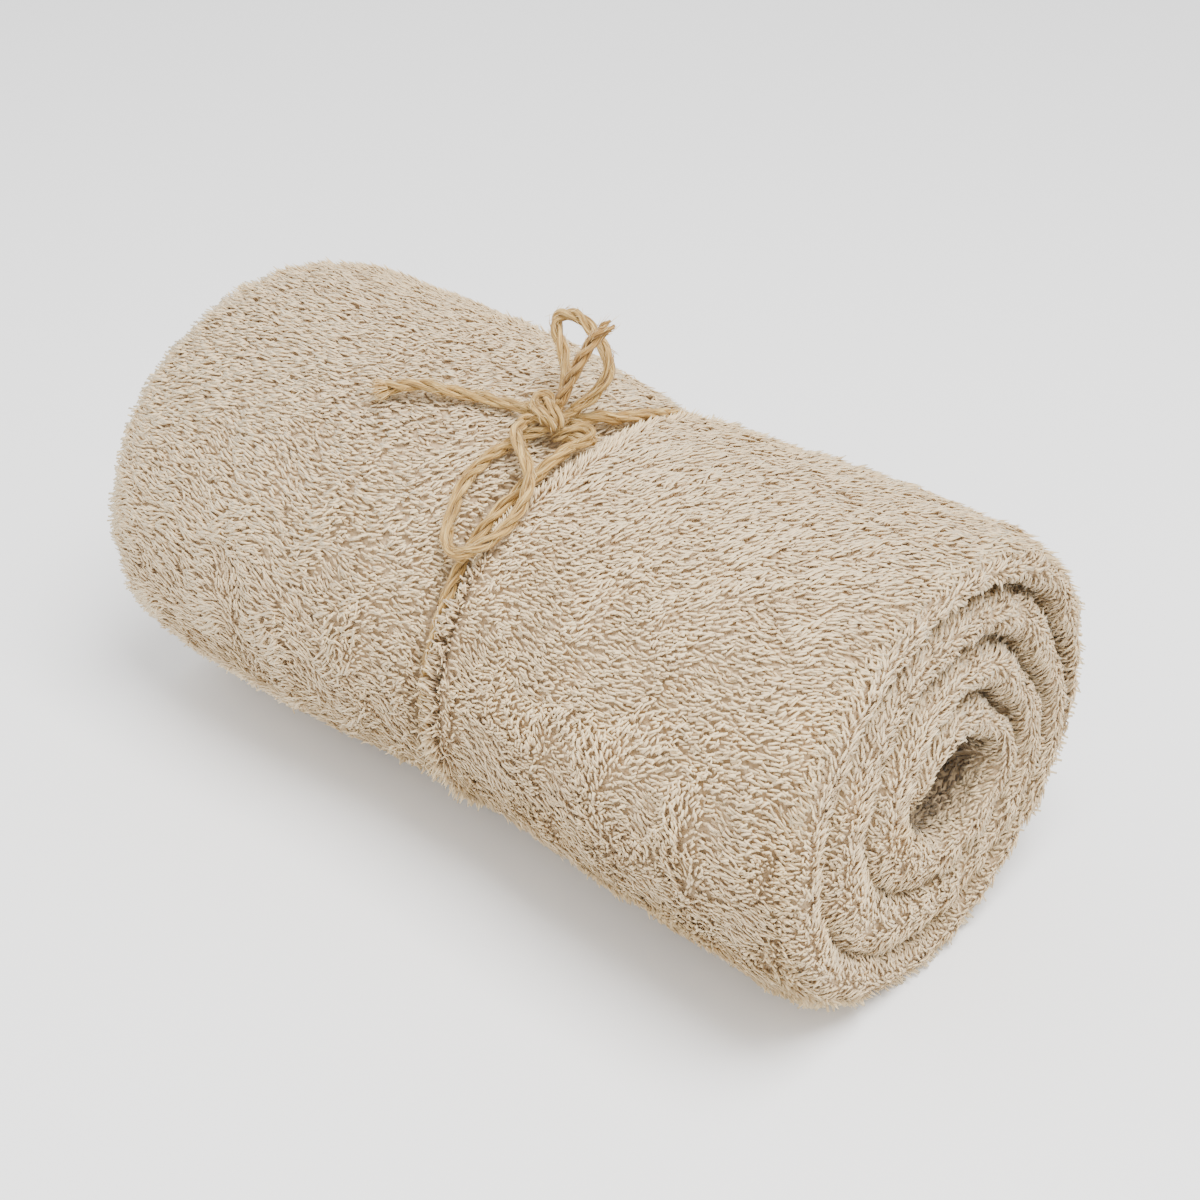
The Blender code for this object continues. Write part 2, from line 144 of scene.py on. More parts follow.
# Centre of the knot: angle, place along X, lift. Its strands are given from there, in mm:
# along X, round the roll towards the back, outwards.
KNOT_PLACE = (81.0, 0.0020, 0.0018)
KNOT_STRANDS = (
    ((-2.0, 4.2, -0.8), (-3.4, 4.8, 1.8), (-5.4, 3.2, 3.0), (-5.6, -0.4, 3.2), (-2.6, -3.6, 3.4),
     (2.6, -5.2, 3.2), (6.2, -5.6, 1.4), (6.8, -5.0, -1.6)),
    ((-4.4, 2.4, 0.2), (-0.8, 1.4, 2.6), (3.4, -0.6, 2.8), (6.8, -1.6, 0.8), (7.2, -1.8, -2.0)),
    ((-8.4, -1.1, -1.5), (-5.5, -0.4, -1.2), (-1.0, 0.2, -0.8), (3.0, 0.6, -1.4)),
    ((-3.9, -10.2, -0.6), (-3.6, -8.6, 0.2), (-1.4, -6.4, 0.4), (1.6, -4.8, -0.4), (3.4, -3.6, -1.8)),
    ((-3.2, -11.6, -5.6), (-1.6, -9.4, -5.0), (1.4, -6.6, -4.0), (4.4, -3.2, -3.2), (6.4, 0.6, -3.2)),
    ((0.5, 1.5, -1.6), (2.8, 3.6, -3.6), (4.2, 5.5, -5.8), (4.8, 7.2, -6.6)),
    ((-0.5, 9.0, 1.0), (-0.6, 6.2, -0.6), (0.4, 2.6, -1.6), (1.6, -0.6, -1.8)),
    ((6.2, 8.0, -1.7), (5.6, 5.4, -2.4), (4.2, 2.0, -2.4), (2.4, -1.0, -2.2)),
    ((4.5, 3.0, 5.2), (3.9, 2.0, 2.8), (2.8, 0.8, 0.2), (1.6, -0.6, -1.2)),
)
HITCH_PLACE = (81.6, 0.0126, -0.0066)
HITCH_STRANDS = (
    ((-6.0, -4.0, -0.2), (-3.6, -3.4, 1.6), (-1.4, -0.6, 2.8), (0.8, 2.6, 3.0), (3.6, 4.2, 2.2),
     (5.8, 3.0, 1.2), (5.8, -0.4, 0.9), (4.6, -3.6, 0.9), (3.4, -6.2, 0.8)),
    ((-5.0, -1.2, -1.4), (-1.8, -0.8, 0.0), (1.4, -0.6, 0.6), (4.2, 0.8, 0.0), (6.4, 3.8, -1.2)),
)

# Soft troughs in the side: start angle, start along X, end angle, end along X, half width, depth
CREASES = (
    (70.0, -0.082, 8.0, -0.056, 0.014, 0.0022),
    (58.0, 0.057, 16.0, 0.128, 0.013, 0.0026),
    (128.0, -0.070, 176.0, -0.095, 0.016, 0.0018),
    (118.0, 0.066, 170.0, 0.092, 0.016, 0.0018),
)


def smooth(value):
    """Ease from 0 to 1 as the value goes from 0 to 1."""
    value = np.clip(value, 0.0, 1.0)
    return value * value * (3.0 - 2.0 * value)


def bell(distance, reach):
    """A soft bump that is 1 at distance 0."""
    return np.exp(-(distance / reach) ** 2)


WAIST_ROWS = [(-360.0, TIE_ALONG)]
WAIST_ROWS += [(row[0] - 90.0, row[1]) for row in WRAP_ROUTE[::-1] if TIE_SPAN[0] < row[0] < TIE_SPAN[1]]
WAIST_ROWS += [(0.0, TIE_ALONG)]
WAIST_TURNS = np.array([row[0] for row in WAIST_ROWS])
WAIST_PLACES = np.array([row[1] for row in WAIST_ROWS])


def waist_along(angle):
    """Place along X of the middle of the waist at an angle round the roll."""
    turn = (np.asarray(angle, float) - 90.0) % 360.0 - 360.0
    place = np.clip(np.searchsorted(WAIST_TURNS, turn, side="right") - 1, 0, len(WAIST_TURNS) - 2)
    low = WAIST_TURNS[place]
    share = smooth((turn - low) / (WAIST_TURNS[place + 1] - low))
    return WAIST_PLACES[place] + (WAIST_PLACES[place + 1] - WAIST_PLACES[place]) * share


def crease_depth(angle, along):
    """Depth of the soft troughs at a place on the side."""
    depth = 0.0
    arc_per_degree = math.radians(MEAN_RADIUS)
    for angle_a, along_a, angle_b, along_b, half_width, trough in CREASES:
        step_arc = (angle_b - angle_a) * arc_per_degree
        step_along = along_b - along_a
        arc = (angle - angle_a) * arc_per_degree
        place = along - along_a
        share = (arc * step_arc + place * step_along) / (step_arc ** 2 + step_along ** 2)
        share = np.clip(share, 0.0, 1.0)
        distance = np.hypot(arc - step_arc * share, place - step_along * share)
        depth = depth + trough * bell(distance, half_width) * np.sin(math.pi * (0.1 + 0.8 * share))
    return depth


def side_depth(angle, along):
    """How far the side surface lies inside the plain oval form."""
    offset = along - waist_along(angle)
    reach = np.where(offset > 0.0, WAIST_REACH_NEAR, WAIST_REACH_FAR)
    pull = bell(offset, reach)
    depth = WAIST_DEPTH * pull
    behind_knot = bell(angle % 360.0 - WAIST_TOP_ANGLE, WAIST_TOP_SPREAD)
    depth = depth + WAIST_TOP_EXTRA * bell(offset, WAIST_TOP_REACH) * behind_knot
    at_knot = bell(angle % 360.0 - KNOT_ANGLE, KNOT_SPREAD)
    depth = depth + GROOVE_DEPTH * bell(offset, GROOVE_REACH * (1.0 + GROOVE_WIDENING * at_knot))
    above_floor = smooth((np.sin(np.radians(angle)) + 0.95) / 0.5)
    wave = 0.0
    for per_metre, per_turn, start, share in WAVES:
        wave = wave + share * np.sin(per_metre * along + np.radians(per_turn * angle) + start)
    depth = depth + above_floor * WAVE_DEPTH * wave * (1.0 - pull)
    return depth + above_floor * crease_depth(angle % 360.0, along)


def roll_place(angle, along, depth, core_share=0.0):
    """Points at depths inside the oval form, flattened where they would reach below the surface."""
    angle, along, depth = np.broadcast_arrays(*(np.asarray(v, float) for v in (angle, along, depth)))
    share = 1.0 - depth / MEAN_RADIUS
    y = CORE_SHIFT_BACK * core_share - HALF_WIDTH * share * np.cos(np.radians(angle))
    rise = CORE_SHIFT_UP * core_share + HALF_HEIGHT * share * np.sin(np.radians(angle))
    lean = END_LEAN_BACK * y - np.copysign(END_LEAN_UP, along) * rise
    lean = lean * smooth(2.0 * np.abs(along) / ROLL_LENGTH)
    return np.stack([along + lean + ALONG_SHIFT, y, np.maximum(AXIS_HEIGHT + rise, 0.0)], axis=-1)


def turn_boundary(turn_index, turned):
    """Depth of the inner side of a turn; turn 0 stands for the outer surface."""
    if turn_index == 0:
        return np.full_like(turned, HEM_THICKNESS)
    if turn_index == TURN_COUNT:
        return turn_boundary(turn_index - 1, turned) + TURN * (
            1.0 - smooth((turned - LAST_TURN_HOLD) / (360.0 - LAST_TURN_HOLD)))
    share = smooth(turned / HEM_REACH)
    hem = HEM_THICKNESS * (1.0 - share) if turn_index == 1 else 0.0
    return hem + TURN * (turn_index - 1 + share)


def valley_depth(turn_index, turned):
    """Depth along the roll of the valley on the inner side of a turn."""
    if turn_index == 0:
        return np.zeros_like(turned)
    facing = np.cos(np.radians(FREE_EDGE_ANGLE - turned - OPEN_VALLEYS_ANGLE))
    plain = VALLEY_DEPTH * (VALLEY_EVENNESS + (1.0 - VALLEY_EVENNESS) * facing)
    if turn_index == 1:
        return plain * smooth(turned / FIRST_VALLEY_REACH)
    if turn_index == TURN_COUNT:
        return np.full_like(turned, CORE_DEPTH)
    if turn_index == TURN_COUNT - 1:
        return plain + (CORE_DEPTH - plain) * smooth((turned - CORE_OPENING) / (360.0 - CORE_OPENING))
    return plain


def sinking(turn_index, turned):
    """Share by which a ridge has sunk into the core; only the last one does."""
    if turn_index < TURN_COUNT:
        return 0.0
    return smooth((turned - CORE_OPENING) / (CORE_MERGED - CORE_OPENING))


def ridge_drop(across, outer_valley, inner_valley, doubled, sunk):
    """Drop of an end surface across one ridge, from 0 on its outer side to 1 on its inner side."""
    valley = outer_valley if across < 0.5 else inner_valley
    side = abs(2.0 * across - 1.0)
    drop = valley * (1.0 - math.sqrt(1.0 - side ** RIDGE_FULLNESS))
    if doubled:
        gap = SELVEDGE_DEPTH * bell(across - 0.5, SELVEDGE_REACH)
        drop = drop + gap * np.minimum(1.0, inner_valley / VALLEY_DEPTH)
    return drop + (CORE_DEPTH - drop) * sunk


def end_drop(depth):
    """Drop of an end surface where the outer fold rounds over to the side."""
    side = 1.0 - np.minimum(depth / RIM_DEPTH, 1.0)
    return RIM_LENGTH * (1.0 - np.sqrt(1.0 - side * side))


def hem_step(turned):
    """The surface sinks towards the foot of the outer hem and rises again over it."""
    sunk = HEM_SINK * smooth((turned - HEM_FOOT[0]) / (HEM_FOOT[1] - HEM_FOOT[0]))
    return sunk * (1.0 - smooth((turned - HEM_RISE[0]) / HEM_RISE[1]))


# ---------------------------------------------------------------- making meshes
def make_piece(name, points, faces, material, uv=None):
    """A mesh object from arrays, riding on the roll, with its material."""
    mesh = bpy.data.meshes.new(name)
    points = np.ascontiguousarray(points, dtype=np.float32)
    if isinstance(faces, np.ndarray):
        count, size = faces.shape
        mesh.vertices.add(len(points))
        mesh.vertices.foreach_set("co", points.ravel())
        mesh.loops.add(count * size)
        mesh.loops.foreach_set("vertex_index", faces.ravel().astype(np.int32))
        mesh.polygons.add(count)
        mesh.polygons.foreach_set("loop_start", np.arange(0, count * size, size, dtype=np.int32))
        mesh.update(calc_edges=True)
    else:
        mesh.from_pydata(points.tolist(), [], faces)
        mesh.update()
    if uv is not None:
        layer = mesh.uv_layers.new(name=uv[0])
        layer.data.foreach_set("uv", np.ascontiguousarray(uv[1], dtype=np.float32).ravel())
    mesh.shade_smooth()
    mesh.materials.append(material)
    thing = bpy.data.objects.new(name, mesh)
    bpy.context.collection.objects.link(thing)
    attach(thing, "root")
    return thing


def unit(vectors):
    """Vectors of length 1."""
    return vectors / np.maximum(np.linalg.norm(vectors, axis=-1, keepdims=True), 1e-12)


def square_to(vectors, axes):
    """The part of each vector that is at right angles to its axis."""
    return vectors - axes * np.einsum("ij,ij->i", vectors, axes)[:, None]


def round_rings(centres, radii, turns, side, across):
    """Rings of points round centres, at turning angles from one direction towards another."""
    return centres[..., None, :] + radii[..., None, None] * (
        np.cos(turns)[..., None] * side[..., None, :] + np.sin(turns)[..., None] * across[..., None, :])


def repeated(faces, count, step):
    """The same triangles for each of many small meshes."""
    return (faces[None] + (np.arange(count) * step)[:, None, None]).reshape(-1, 3)


def tint_uv(faces, widths, heights, tints):
    """Texture places for many small meshes: the tint of each goes across, the height on it upwards."""
    u = tints[:, None, None] * 0.96 + widths[faces][None] * 0.02 + 0.01
    v = np.broadcast_to(heights[faces] * 0.98 + 0.01, u.shape)
    return np.stack([u, v], axis=-1).reshape(-1, 2)


def search_tree(places):
    """A tree that finds the nearest of many places."""
    tree = KDTree(len(places))
    for index, place in enumerate(places.tolist()):
        tree.insert(place, index)
    tree.balance()
    return tree


# ---------------------------------------------------------------- materials
def new_material(name, settings):
    """A material with the plain settings of its shader, and what nodes and links are added to."""
    material = bpy.data.materials.new(name)
    material.use_nodes = True
    shader = material.node_tree.nodes["Principled BSDF"]
    for label, value in settings.items():
        shader.inputs[label].default_value = value
    return material, material.node_tree.nodes, material.node_tree.links, shader


def uv_node(nodes, layer):
    uv = nodes.new("ShaderNodeUVMap")
    uv.uv_map = layer
    return uv.outputs["UV"]


def colour_ramp(nodes, stops):
    ramp = nodes.new("ShaderNodeValToRGB")
    while len(ramp.color_ramp.elements) < len(stops):
        ramp.color_ramp.elements.new(0.5)
    for element, (place, colour) in zip(ramp.color_ramp.elements, stops):
        element.position = place
        element.color = (*colour, 1.0)
    return ramp


def multiplied(nodes, links, first, second):
    """One colour times another."""
    mix = nodes.new("ShaderNodeMix")
    mix.data_type = "RGBA"
    mix.blend_type = "MULTIPLY"
    mix.inputs["Factor"].default_value = 1.0
    links.new(first, mix.inputs[6])
    links.new(second, mix.inputs[7])
    return mix.outputs[2]


def stretched_noise(nodes, links, place, stretch, detail, roughness):
    """Noise drawn out along a strand."""
    mapping = nodes.new("ShaderNodeMapping")
    mapping.inputs["Scale"].default_value = stretch
    links.new(place, mapping.inputs["Vector"])
    noise = nodes.new("ShaderNodeTexNoise")
    for label, value in (("Scale", 1.0), ("Detail", detail), ("Roughness", roughness)):
        noise.inputs[label].default_value = value
    links.new(mapping.outputs["Vector"], noise.inputs["Vector"])
    return noise.outputs["Fac"]


def add_bump(nodes, links, shader, height, strength, distance, invert=False):
    bump = nodes.new("ShaderNodeBump")
    bump.invert = invert
    bump.inputs["Strength"].default_value = strength
    bump.inputs["Distance"].default_value = distance
    links.new(height, bump.inputs["Height"])
    links.new(bump.outputs["Normal"], shader.inputs["Normal"])


# Painted shade in the hollows: loops in the valleys and the core take tints below this, which the pile
# material darkens.
HOLLOW_SHADE_TINTS = 0.20     # tints below this are for loops down in the valleys and the core


def pile_material():
    """Cotton loops: painted shade makes them dark between their feet and pale at the tips; each has its own
    tint, and painted shade darkens those down in the hollows.
    """
    material, nodes, links, shader = new_material("terry_pile", {
        "Roughness": 0.82, "Specular IOR Level": 0.25, "Sheen Weight": 0.25, "Sheen Roughness": 0.5,
        "Sheen Tint": (1.0, 0.94, 0.86, 1.0)})
    split = nodes.new("ShaderNodeSeparateXYZ")
    links.new(uv_node(nodes, "OFBake"), split.inputs[0])
    # Painted shade: each loop darkens from its pale tip down to its foot, where the shade between the loops
    # falls.
    painted_shade_by_height = colour_ramp(nodes, (
        (0.0, (0.47, 0.335, 0.190)),
        (0.35, (0.63, 0.465, 0.270)),
        (0.70, (0.81, 0.625, 0.370)),
        (1.0, (0.93, 0.750, 0.455)),
    ))
    links.new(split.outputs["Y"], painted_shade_by_height.inputs[0])
    # Tints below the hollow mark are painted shade for loops deep in the valleys and the core; the rest
    # differ at random.
    tint_and_hollow_shade = colour_ramp(nodes, (
        (0.0, (0.15, 0.12, 0.10)),
        (HOLLOW_SHADE_TINTS, (0.92, 0.91, 0.90)),
        (HOLLOW_SHADE_TINTS + 0.02, (0.80, 0.77, 0.74)),
        (0.55, (0.94, 0.93, 0.92)),
        (1.0, (1.0, 1.0, 1.0)),
    ))
    links.new(split.outputs["X"], tint_and_hollow_shade.inputs[0])
    colour = multiplied(nodes, links, painted_shade_by_height.outputs["Color"], tint_and_hollow_shade.outputs["Color"])
    links.new(colour, shader.inputs["Base Color"])
    return material


def ground_material():
    """The ground weave between the loops' feet, coloured dark like their feet as painted shade among the
    loops.
    """
    material, nodes, links, shader = new_material("terry_ground", {"Roughness": 0.95})
    place = nodes.new("ShaderNodeTexCoord")
    cells = nodes.new("ShaderNodeTexVoronoi")
    cells.inputs["Scale"].default_value = 520.0
    links.new(place.outputs["Object"], cells.inputs["Vector"])
    # Both stops are darker than the loops' cotton: painted shade between the loops' feet; the cells give
    # the weave its pattern.
    ramp = colour_ramp(nodes, ((0.0, (0.60, 0.440, 0.265)), (0.7, (0.44, 0.315, 0.180))))
    links.new(cells.outputs["Distance"], ramp.inputs[0])
    links.new(ramp.outputs["Color"], shader.inputs["Base Color"])
    add_bump(nodes, links, shader, cells.outputs["Distance"], 0.8, 0.0012, invert=True)
    return material


def twine_material(name, shade):
    """Jute: long golden fibres with darker strands among them; the shade darkens or browns them."""
    material, nodes, links, shader = new_material(name, {
        "Roughness": 0.72, "Specular IOR Level": 0.30, "Sheen Weight": 0.15, "Sheen Roughness": 0.4})
    strand = uv_node(nodes, "Strand")
    streaks = stretched_noise(nodes, links, strand, (11.0, 95.0, 1.0), 4.0, 0.65)
    tone = stretched_noise(nodes, links, strand, (5.0, 55.0, 1.0), 2.0, 0.5)
    fibres = colour_ramp(nodes, (
        (0.36, (0.19, 0.095, 0.025)),
        (0.46, (0.41, 0.235, 0.062)),
        (0.54, (0.58, 0.365, 0.115)),
        (0.66, (0.80, 0.580, 0.240)),
    ))
    links.new(streaks, fibres.inputs[0])
    tones = colour_ramp(nodes, ((0.38, [0.72 * part for part in shade]), (0.60, shade)))
    links.new(tone, tones.inputs[0])
    colour = multiplied(nodes, links, fibres.outputs["Color"], tones.outputs["Color"])
    links.new(colour, shader.inputs["Base Color"])
    add_bump(nodes, links, shader, streaks, 1.0, 0.0009)
    return material


def fibre_material():
    """Loose jute hairs, paler than the strands, each with its own tint."""
    material, nodes, links, shader = new_material("jute_fibre", {"Roughness": 0.6})
    split = nodes.new("ShaderNodeSeparateXYZ")
    links.new(uv_node(nodes, "OFBake"), split.inputs[0])
    ramp = colour_ramp(nodes, (
        (0.0, (0.40, 0.22, 0.065)),
        (0.5, (0.60, 0.38, 0.135)),
        (1.0, (0.84, 0.64, 0.320)),
    ))
    links.new(split.outputs["X"], ramp.inputs[0])
    links.new(ramp.outputs["Color"], shader.inputs["Base Color"])
    return material


# ---------------------------------------------------------------- the camera
CAMERA_AZIMUTH = math.radians(40.06)
CAMERA_ELEVATION = math.radians(36.04)
CAMERA_DISTANCE = 0.7575
CAMERA_TARGET = Vector((0.01305, 0.0, 0.0912))

camera_data = bpy.data.cameras.new("camera")
camera_data.lens = 58.65
camera_data.sensor_width = 36.0
camera = bpy.data.objects.new("camera", camera_data)
bpy.context.collection.objects.link(camera)
backwards = Vector((
    math.sin(CAMERA_AZIMUTH) * math.cos(CAMERA_ELEVATION),
    -math.cos(CAMERA_AZIMUTH) * math.cos(CAMERA_ELEVATION),
    math.sin(CAMERA_ELEVATION),
))
camera.location = CAMERA_TARGET + backwards * CAMERA_DISTANCE
camera.rotation_euler = backwards.to_track_quat("Z", "Y").to_euler()
bpy.context.scene.camera = camera

# ---------------------------------------------------------------- the twine
JUTE = twine_material("jute_strands", (1.0, 1.0, 1.0))
BROWN_JUTE = twine_material("jute_strands_brown", (0.74, 0.66, 0.58))
FIBRE = fibre_material()
PLY_COUNT = 3
PLY_SIDES = 8
PLY_TWIST = -0.10
PLY_RADIUS = 0.00118
PLY_ORBIT = 0.00128
PLY_PITCH = 0.030
RING_SPACING = 0.0009
ABOVE_SURFACE = 0.0002      # nothing that is drawn goes below this height


def smooth_curve(points):
    """Closely spaced points on a smooth curve through the given points."""
    points = np.asarray(points, float)
    ends = np.vstack([points[0] * 2 - points[1], points, points[-1] * 2 - points[-2]])
    t = (np.arange(24) / 24.0)[:, None]
    curve = []
    for before, start, stop, after in zip(ends, ends[1:], ends[2:], ends[3:]):
        curve.append(0.5 * (2 * start + (stop - before) * t
                            + (2 * before - 5 * start + 4 * stop - after) * t * t
                            + (3 * start - before - 3 * stop + after) * t ** 3))
    curve.append(points[-1][None])
    return np.vstack(curve)


def route_on_roll(route):
    """Curve in space for a route given as angle, place along X and lift."""
    curve = smooth_curve([(math.radians(row[0]) * MEAN_RADIUS, row[1], row[2]) for row in route])
    return roll_place(np.degrees(curve[:, 0] / MEAN_RADIUS), curve[:, 1], -curve[:, 2])


def route_above_axis(route):
    """Curve in space for a route given as x, y and rise above the roll's axis."""
    return smooth_curve([(x, y, AXIS_HEIGHT + rise) for x, y, rise in route])


def route_at(place, strand):
    """Curve in space for a strand given in mm from a place on the roll."""
    centre = roll_place(place[0], place[1], -place[2])
    turn = math.radians(place[0])
    onward = np.array([0.0, math.sin(turn), math.cos(turn)])
    outward = np.array([0.0, -math.cos(turn), math.sin(turn)])
    return centre + smooth_curve(strand) @ np.stack([(1.0, 0.0, 0.0), onward, outward]) * 0.001


def resample(curve, count):
    """That many points at even steps along a curve."""
    lengths = np.concatenate([[0.0], np.cumsum(np.linalg.norm(np.diff(curve, axis=0), axis=1))])
    wanted = np.linspace(0.0, lengths[-1], count)
    return np.stack([np.interp(wanted, lengths, curve[:, axis]) for axis in range(3)], axis=1)


def curve_length(curve):
    return float(np.linalg.norm(np.diff(curve, axis=0), axis=1).sum())


def moving_frames(curve):
    """Directions along a curve, and two across it that don't twist."""
    ahead = unit(np.gradient(curve, axis=0))
    side = np.empty_like(ahead)
    start = np.cross(ahead[0], (0.0, 0.0, 1.0))
    if np.linalg.norm(start) < 0.1:
        start = np.cross(ahead[0], (1.0, 0.0, 0.0))
    side[0] = start / np.linalg.norm(start)
    for index in range(1, len(curve)):
        carried = side[index - 1] - ahead[index] * side[index - 1].dot(ahead[index])
        side[index] = carried / np.linalg.norm(carried)
    return ahead, side, np.cross(ahead, side)


def tube_mesh(centres, radii):
    """Points, triangles and strand coordinates of a closed tube along centres."""
    side_count = PLY_SIDES
    ahead, side, across = moving_frames(centres)
    round_angles = np.arange(side_count) * 2.0 * math.pi / side_count
    turns = round_angles[None, :] + (np.arange(len(centres)) * PLY_TWIST)[:, None]
    rings = round_rings(centres, radii, turns, side, across)
    points = np.vstack([rings.reshape(-1, 3), centres[:1] - ahead[:1] * radii[0] * 0.5,
                        centres[-1:] + ahead[-1:] * radii[-1] * 0.5])
    count = len(centres)
    index = np.arange(count * side_count).reshape(count, side_count)
    after = np.roll(index, -1, axis=1)
    a, b = index[:-1].ravel(), after[:-1].ravel()
    c, d = after[1:].ravel(), index[1:].ravel()
    first, last = count * side_count, count * side_count + 1
    triangles = np.vstack([
        np.stack([a, b, c], axis=1),
        np.stack([a, c, d], axis=1),
        np.stack([np.full(side_count, first), after[0], index[0]], axis=1),
        np.stack([np.full(side_count, last), index[-1], after[-1]], axis=1),
    ])
    along = np.concatenate([[0.0], np.cumsum(np.linalg.norm(np.diff(centres, axis=0), axis=1))])
    low_u = np.tile(np.arange(side_count) / side_count, count - 1)
    high_u = low_u + 1.0 / side_count
    low_v, high_v = np.repeat(along[:-1], side_count), np.repeat(along[1:], side_count)
    uv_first = np.stack([(low_u, low_v), (high_u, low_v), (high_u, high_v)]).transpose(2, 0, 1)
    uv_second = np.stack([(low_u, low_v), (high_u, high_v), (low_u, high_v)]).transpose(2, 0, 1)
    caps = np.zeros((2 * side_count, 3, 2))
    caps[..., 0] = np.tile([0.5, 0.6, 0.4], (2 * side_count, 1))
    caps[:side_count, :, 1] = along[0]
    caps[side_count:, :, 1] = along[-1]
    return points, triangles, np.vstack([uv_first, uv_second, caps])


def twisted_twine(name, curve, phase=0.0, slim=1.0, flare=0.0, taper=(0.0, 0.0), material=JUTE):
    """Three plies wound round a smooth centreline; flare opens the plies at the far tip."""
    length = curve_length(curve)
    count = max(8, int(length / RING_SPACING))
    centres = resample(curve, count)
    ahead, side, across = moving_frames(centres)
    along = np.linspace(0.0, length, count)
    points, triangles, uv = [], [], []
    for ply in range(PLY_COUNT):
        drift = 0.30 * np.sin(along * 260.0 + 2.1 * ply + phase) + 0.5 * np.sin(along * 95.0 + phase)
        turn = 2.0 * math.pi * (along / PLY_PITCH + ply / PLY_COUNT) + phase + drift
        open_up = 1.0 + flare * smooth((along - length + 0.012) / 0.012)
        orbit = PLY_ORBIT * slim * open_up * (1.0 + 0.05 * np.sin(along * 470.0 + 3.0 * ply))
        path = centres + orbit[:, None] * (np.cos(turn)[:, None] * side + np.sin(turn)[:, None] * across)
        radii = PLY_RADIUS * slim * (1.0 + 0.06 * np.sin(along * 700.0 + 1.7 * ply + phase)
                                     + 0.07 * np.sin(along * 240.0 + 2.6 * ply + 2.0 * phase))
        if taper[0]:
            radii = radii * (0.35 + 0.65 * smooth(along / taper[0]))
        if taper[1]:
            radii = radii * (0.45 + 0.55 * smooth((length - along) / taper[1]))
        ply_points, ply_triangles, ply_uv = tube_mesh(path, radii)
        triangles.append(ply_triangles + ply * len(ply_points))
        points.append(ply_points)
        uv.append(ply_uv + [1.37 * ply + 0.61 * phase, 0.0])
    points = np.vstack(points)
    points[:, 2] = np.maximum(points[:, 2], ABOVE_SURFACE)
    uv = np.vstack(uv).reshape(-1, 2)
    return make_piece(name, points, np.vstack(triangles), material, uv=("Strand", uv))


wrap_curve = route_on_roll(WRAP_ROUTE)
lower_curve = route_on_roll(LOWER_LOOP)
left_curve = route_on_roll(LEFT_END)
upper_curve = route_above_axis(UPPER_LOOP)
upper_end_curve = route_above_axis(UPPER_END)
CORDS = (
    ("twine_wrap", "jute_round_roll", wrap_curve, 0.4, 0.0, "object", "taut"),
    ("bow_loop_lower", "jute_lower_loop", lower_curve, 1.9, 0.0, "object", "loose"),
    ("bow_loop_upper", "jute_upper_loop", upper_curve, 3.1, 0.0, "object", "loose"),
    ("twine_end_left", "jute_left_end", left_curve, 0.9, 0.55, "bare", "loose"),
    ("twine_end_upper", "jute_upper_end", upper_end_curve, 5.0, 0.15, "bare", "loose"),
)
for node, name, curve, phase, flare, far_end, lay in CORDS:
    tip = (0.0, 0.004) if far_end == "bare" else (0.0, 0.0)
    jute = BROWN_JUTE if node == "twine_end_upper" else JUTE
    piece = twisted_twine(name, curve, phase, flare=flare, taper=tip, material=jute)
    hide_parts(node)

knot_curves = [route_at(KNOT_PLACE, strand) for strand in KNOT_STRANDS]
for number, curve in enumerate(knot_curves):
    piece = twisted_twine(f"jute_knot_strand_{number + 1}", curve, 0.7 + 1.3 * number, slim=0.86)
    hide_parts("twine_knot")
hitch_curves = [route_at(HITCH_PLACE, strand) for strand in HITCH_STRANDS]
for number, curve in enumerate(hitch_curves):
    piece = twisted_twine(f"jute_hitch_strand_{number + 1}", curve, 2.2 + 1.1 * number, slim=0.84)
    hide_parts("twine_hitch")

ALL_CURVES = [wrap_curve, lower_curve, left_curve, upper_curve, upper_end_curve]
ALL_CURVES += knot_curves + hitch_curves
HAIRS_PER_METRE = 3600

# Brushes at the free ends: curve, hairs, how far they spread, their length
BRUSHES = (
    (left_curve, 190, 0.42, 0.0074),
    (upper_end_curve, 50, 0.20, 0.0026),
)


def hair_mesh(starts, directions, bends, lengths, radii, tints):
    """Thin closed curved fibres, three sides and three steps each."""
    steps = np.array([0.0, 0.34, 0.68, 1.0])
    total = len(starts)
    centres = starts[:, None, :] + lengths[:, None, None] * (
        steps[None, :, None] * directions[:, None, :] + (steps ** 2)[None, :, None] * bends[:, None, :])
    centres[..., 2] = np.maximum(centres[..., 2], 0.0006)
    heading = unit(np.gradient(centres, axis=1))
    helper = unit(rng.normal(size=(total, 1, 3)))
    side = unit(np.cross(heading, helper))
    across = np.cross(heading, side)
    shrink = np.array([1.0, 0.9, 0.7])
    turns = np.arange(3) * 2.0 * math.pi / 3.0
    rings = round_rings(centres[:, :3], radii[:, None] * shrink, turns, side[:, :3], across[:, :3])
    points = np.concatenate([rings.reshape(total, 9, 3), centres[:, 3:4, :]], axis=1)
    faces = [(0, 2, 1)]
    for ring in range(2):
        for j in range(3):
            k = (j + 1) % 3
            a, b, c, d = 3 * ring + j, 3 * ring + k, 3 * ring + 3 + k, 3 * ring + 3 + j
            faces += [(a, b, c), (a, c, d)]
    faces += [(6, 7, 9), (7, 8, 9), (8, 6, 9)]
    faces = np.array(faces)
    heights = np.concatenate([np.repeat(steps[:3], 3), [1.0]])
    widths = np.concatenate([np.tile([0.0, 0.5, 1.0], 3), [0.5]])
    return points.reshape(-1, 3), repeated(faces, total, 10), tint_uv(faces, widths, heights, tints)


